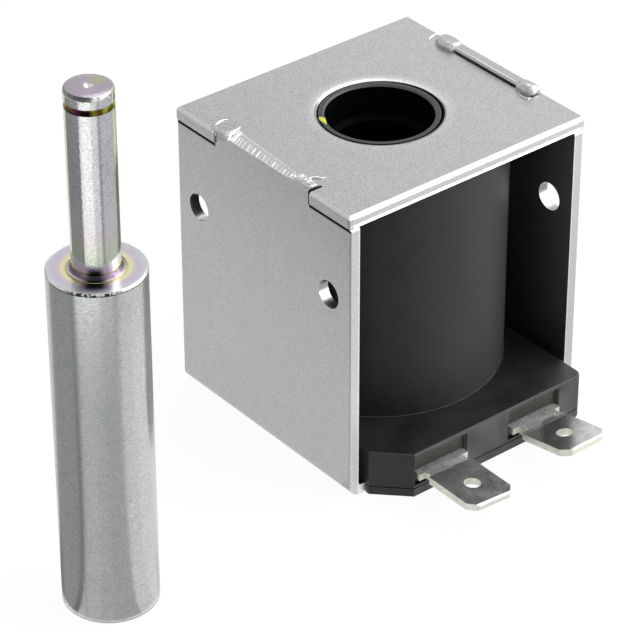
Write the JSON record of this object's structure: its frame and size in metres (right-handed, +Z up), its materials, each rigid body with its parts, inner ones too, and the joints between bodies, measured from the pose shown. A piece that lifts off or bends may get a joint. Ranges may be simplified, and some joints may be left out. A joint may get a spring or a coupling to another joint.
{
  "type": "push pull solenoid",
  "caption": "Box-frame push pull solenoid with an encapsulated coil, blade terminals and a loose stepped plunger standing beside it.",
  "frame": {"origin": "on the bore's axis, at the frame's underside", "axes": "+Z up along the bore towards its open mouth, -Y out of the open front where the terminals are, -X out of the wall beside the plunger"},
  "size_m": [0.0676, 0.0425, 0.0607],
  "materials": {
    "zinc_sheet": "zinc plated sheet steel, satin, fine speckled grain",
    "plated_steel": "zinc plated turned steel with faint iridescent passivation",
    "black_nylon": "moulded black glass-filled nylon, matte",
    "black_sleeve": "smooth black low-friction sleeve",
    "copper_winding": "enamelled copper wire",
    "insulation_tape": "thin insulating tape",
    "brass_washer": "plain brass",
    "tinned_brass": "tin plated brass, brass showing at the sheared edges"
  },
  "bodies": {
    "solenoid": {"frame": "zinc_sheet", "top_plate": "zinc_sheet", "bobbin": "black_nylon", "winding": "copper_winding", "winding_tape": "insulation_tape", "coil_cover": "black_nylon", "guide_sleeve": "black_sleeve", "pole_piece": "plated_steel", "residual_washer": "brass_washer", "terminal_left": "tinned_brass", "terminal_right": "tinned_brass", "start_lead": "copper_winding", "finish_lead": "copper_winding"},
    "plunger": {"plunger": "plated_steel"}
  },
  "joints": [
    {"name": "plunger_slide", "type": "slide", "parent": "solenoid", "child": "plunger", "axis": [0, 0, 1], "range_m": [0, 0.01]}
  ]
}
